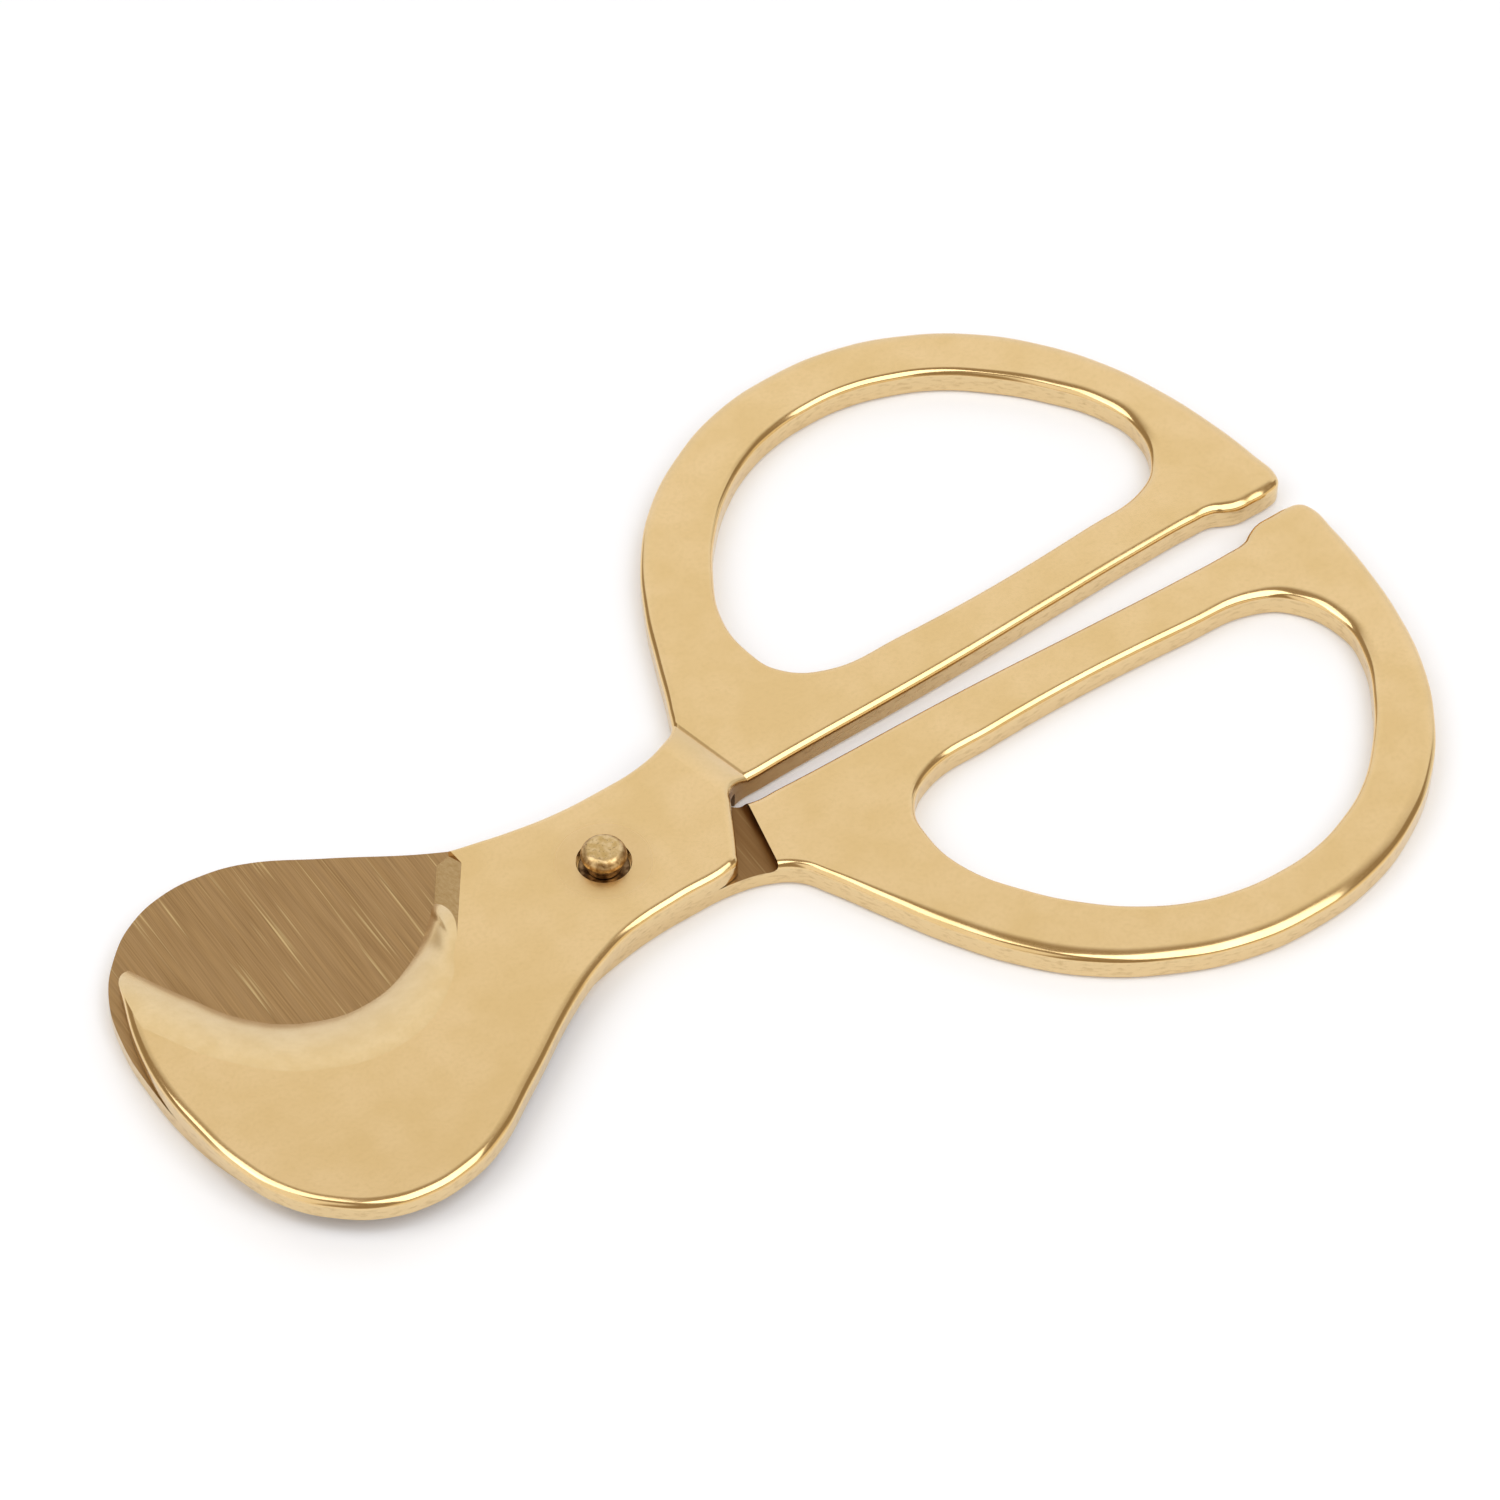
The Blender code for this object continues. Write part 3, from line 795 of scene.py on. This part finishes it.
def turned_rivet_gold():
    """A plated rivet head, set with a hammer: mottled, with dents and dark specks, its shoulder darkened by painted
    shade.
    """
    material, tree = new_material("turned_rivet_gold")
    place = add(tree, "ShaderNodeTexCoord").outputs["Object"]
    normal = add(tree, "ShaderNodeNewGeometry").outputs["Normal"]
    facing = add(tree, "ShaderNodeSeparateXYZ", [normal]).outputs["Z"]
    shoulder = add(tree, "ShaderNodeMapRange", (facing, 0.97, 0.75))

    # Dents 0.45 mm across, and specks of 0.2 mm
    patterns = []
    for size, detail in (((0.45, 0.45, 0.45), 3.0), ((0.2, 0.2, 0.2), 2.0)):
        spot = add(tree, "ShaderNodeMapping", {"Vector": place, "Scale": Vector(size) * MM}, vector_type="TEXTURE")
        patterns.append(add(tree, "ShaderNodeTexNoise", {"Vector": spot, "Scale": 1.0, "Detail": detail}))
    dents, specks = patterns
    dented = add(tree, "ShaderNodeMapRange", (dents, *MIDDLE))
    flat = add(tree, "ShaderNodeMix", (dented, linear("#CBAC70"), linear("#DFC493")), data_type="RGBA")
    # Painted shade: the shoulder takes darker copies of the mottled colours than the flat top
    dented_shoulder_shade = add(tree, "ShaderNodeMix", (dented, linear("#8F6C40"), linear("#CDAE7C")), data_type="RGBA")
    colour = add(tree, "ShaderNodeMix", (shoulder, flat, dented_shoulder_shade), data_type="RGBA")
    specked = add(tree, "ShaderNodeMapRange", (specks, 0.6, 0.7, 0.0, 0.6))
    colour = add(tree, "ShaderNodeMix", (specked, colour, linear("#6B4A2A")), data_type="RGBA")
    rough = add(tree, "ShaderNodeMapRange", (dents, *BROAD, 0.42, 0.3))
    bump = add(tree, "ShaderNodeBump", {"Height": dents, "Strength": 0.35, "Distance": 0.04 * MM})
    surface = {"Base Color": colour, "Metallic": 1.0, "Roughness": rough, "Normal": bump}
    add(tree, "ShaderNodeOutputMaterial", {"Surface": add(tree, "ShaderNodeBsdfPrincipled", surface)})
    return material


def washer_steel():
    """A blanked washer of spring steel under the same plating, mottled dark and light brown over 0.5 mm."""
    material, tree = new_material("washer_steel")
    place = add(tree, "ShaderNodeTexCoord").outputs["Object"]
    size = Vector((0.5, 0.5, 0.5)) * MM
    spot = add(tree, "ShaderNodeMapping", {"Vector": place, "Scale": size}, vector_type="TEXTURE")
    washer_mottle = add(tree, "ShaderNodeTexNoise", {"Vector": spot, "Scale": 1.0, "Detail": 2.0})
    share = add(tree, "ShaderNodeMapRange", (washer_mottle, *MIDDLE))
    colour = add(tree, "ShaderNodeMix", (share, linear("#5F462C"), linear("#A58761")), data_type="RGBA")
    surface = {"Base Color": colour, "Metallic": 1.0, "Roughness": 0.3}
    add(tree, "ShaderNodeOutputMaterial", {"Surface": add(tree, "ShaderNodeBsdfPrincipled", surface)})
    return material


def make_floor():
    """White paper, which stays white behind the object and keeps its shadow."""
    bm = bmesh.new()
    bmesh.ops.create_grid(bm, x_segments=1, y_segments=1, size=FLOOR_REACH)
    bmesh.ops.translate(bm, verts=bm.verts, vec=(0.0, 0.0, -FLOOR_GAP * MM))
    material, tree = new_material("white_paper")
    path = add(tree, "ShaderNodeLightPath").outputs
    seen = add(tree, "ShaderNodeMath", (path["Is Camera Ray"], path["Is Glossy Ray"]), operation="MAXIMUM")
    glow = add(tree, "ShaderNodeMath", (seen, PAPER_GLOW), operation="MULTIPLY")
    paper = add(tree, "ShaderNodeBsdfDiffuse", {"Color": linear("#F0F2F6")})
    light = add(tree, "ShaderNodeEmission", {"Color": linear("#FFFFFF"), "Strength": glow})
    add(tree, "ShaderNodeOutputMaterial", {"Surface": add(tree, "ShaderNodeAddShader", (paper, light))})
    to_object(bm, "paper_floor", material)


def direction(azimuth, elevation):
    """The unit vector that points from the pivot that way: azimuth from +X towards +Y, elevation from level."""
    a, e = math.radians(azimuth), math.radians(elevation)
    return Vector((math.cos(a) * math.cos(e), math.sin(a) * math.cos(e), math.sin(e)))


def softbox(name, azimuth, elevation, roll, wide, high, radiance):
    """A lamp behind a diffuser that faces the pivot, wide and high degrees across."""
    way = direction(azimuth, elevation)
    width = 2.0 * LAMP_DISTANCE * math.tan(math.radians(wide / 2))
    height = 2.0 * LAMP_DISTANCE * math.tan(math.radians(high / 2))
    lamp = bpy.data.lights.new(name, "AREA")
    lamp.shape = "RECTANGLE"
    lamp.size = width
    lamp.size_y = height
    lamp.energy = radiance * math.pi * width * height
    lamp.color = linear("#F4F9FF")[:3]
    obj = bpy.data.objects.new(name, lamp)
    bpy.context.scene.collection.objects.link(obj)
    obj.location = way * LAMP_DISTANCE
    obj.rotation_mode = "QUATERNION"
    obj.rotation_quaternion = way.to_track_quat("Z", "Y") @ Quaternion((0.0, 0.0, 1.0), math.radians(roll))
    obj.visible_camera = False


def white_card(tree, ray, behind, azimuth, elevation, wide, high, soft_sides, soft_top, colour):
    """A matt card that faces the pivot, wide and high degrees across, soft at its edges, before what is behind it."""
    way = direction(azimuth, elevation)
    side = direction(azimuth + 90.0, 0.0)
    depth = add(tree, "ShaderNodeVectorMath", (ray, way), operation="DOT_PRODUCT")
    mask = add(tree, "ShaderNodeMath", (depth, 0.0), operation="GREATER_THAN")
    for axis, spread, soft in ((side, wide, soft_sides), (way.cross(side), high, soft_top)):
        off = add(tree, "ShaderNodeVectorMath", (ray, axis), operation="DOT_PRODUCT")
        slope = add(tree, "ShaderNodeMath", (off, depth), operation="DIVIDE")
        size = add(tree, "ShaderNodeMath", [slope], operation="ABSOLUTE")
        end = math.tan(math.radians(spread / 2))
        inside = add(tree, "ShaderNodeMapRange", (size, end + soft, end - soft), interpolation_type="SMOOTHSTEP")
        mask = add(tree, "ShaderNodeMath", (mask, inside), operation="MULTIPLY")
    return add(tree, "ShaderNodeMix", (mask, behind, colour), data_type="RGBA")


def make_lights():
    """Two softboxes overhead, and white cards round the table in a dim warm room."""
    softbox("softbox_front", azimuth=-67.0, elevation=60.5, roll=-16.0, wide=43.0, high=50.0, radiance=2.35)
    softbox("softbox_left", azimuth=147.0, elevation=59.0, roll=5.0, wide=26.0, high=46.0, radiance=2.0)
    world = bpy.data.worlds.new("studio")
    bpy.context.scene.world = world
    world.use_nodes = True
    tree = world.node_tree
    tree.nodes.clear()
    ray = add(tree, "ShaderNodeTexCoord").outputs["Generated"]
    level = add(tree, "ShaderNodeSeparateXYZ", [ray]).outputs["Z"]

    # The colours here are amounts of light, where 1 is white. The room is lighter near the table's level
    low_down = add(tree, "ShaderNodeMapRange", (level, 0.3, 0.0))
    dim, lighter = (0.36, 0.28, 0.19, 1.0), (0.62, 0.55, 0.45, 1.0)
    light = add(tree, "ShaderNodeMix", (low_down, dim, lighter), data_type="RGBA")

    # The far card is cooler at its foot
    high_up = add(tree, "ShaderNodeMapRange", (level, 0.1, 0.8))
    cool, warm = (0.95, 0.97, 1.07, 1.0), (1.04, 1.02, 1.0, 1.0)
    far_white = add(tree, "ShaderNodeMix", (high_up, cool, warm), data_type="RGBA")

    # Azimuth, elevation, width and height in degrees, how soft the sides and the top are, and the colour
    for card in (
        (5.0, 0.0, 36.0, 38.0, 0.12, 0.12, (0.8, 0.82, 0.84, 1.0)),
        (51.0, 15.0, 91.0, 90.0, 0.08, 0.38, far_white),
        (-68.0, 6.0, 80.0, 44.0, 0.14, 0.14, (0.95, 0.84, 0.66, 1.0)),
        (-178.0, 20.0, 56.0, 84.0, 0.12, 0.12, (1.05, 1.01, 0.97, 1.0)),
    ):
        light = white_card(tree, ray, light, *card)
    studio = add(tree, "ShaderNodeBackground", {"Color": light})
    backdrop = add(tree, "ShaderNodeBackground", {"Color": linear("#FFFFFF")})
    seen = add(tree, "ShaderNodeLightPath").outputs["Is Camera Ray"]
    add(tree, "ShaderNodeOutputWorld", {"Surface": add(tree, "ShaderNodeMixShader", (seen, studio, backdrop))})


def make_camera():
    """The camera, which sees the scissors from where the photograph was taken."""
    camera = bpy.data.cameras.new("camera")
    camera.lens = CAMERA_LENS
    camera.sensor_width = CAMERA_SENSOR
    camera.clip_start, camera.clip_end = CAMERA_SPAN
    obj = bpy.data.objects.new("camera", camera)
    bpy.context.scene.collection.objects.link(obj)
    right, back = Vector(CAMERA_RIGHT), Vector(CAMERA_BACK)
    turn = Matrix((right, back.cross(right), back)).transposed()
    obj.matrix_world = Matrix.Translation(Vector(CAMERA_PLACE) * MM) @ turn.to_4x4()
    bpy.context.scene.camera = obj


def main():
    """Makes the pieces, the floor, the lights and the camera."""
    finishes = (polished_gold_plate(), brushed_mating_face(), ground_bevel(), ground_end_facet())
    make_upper_half(*finishes)
    make_lower_half(*finishes)
    make_rivet(turned_rivet_gold())
    make_washer(washer_steel())
    make_floor()
    make_lights()
    make_camera()
    bpy.context.scene.view_settings.view_transform = "Standard"


main()
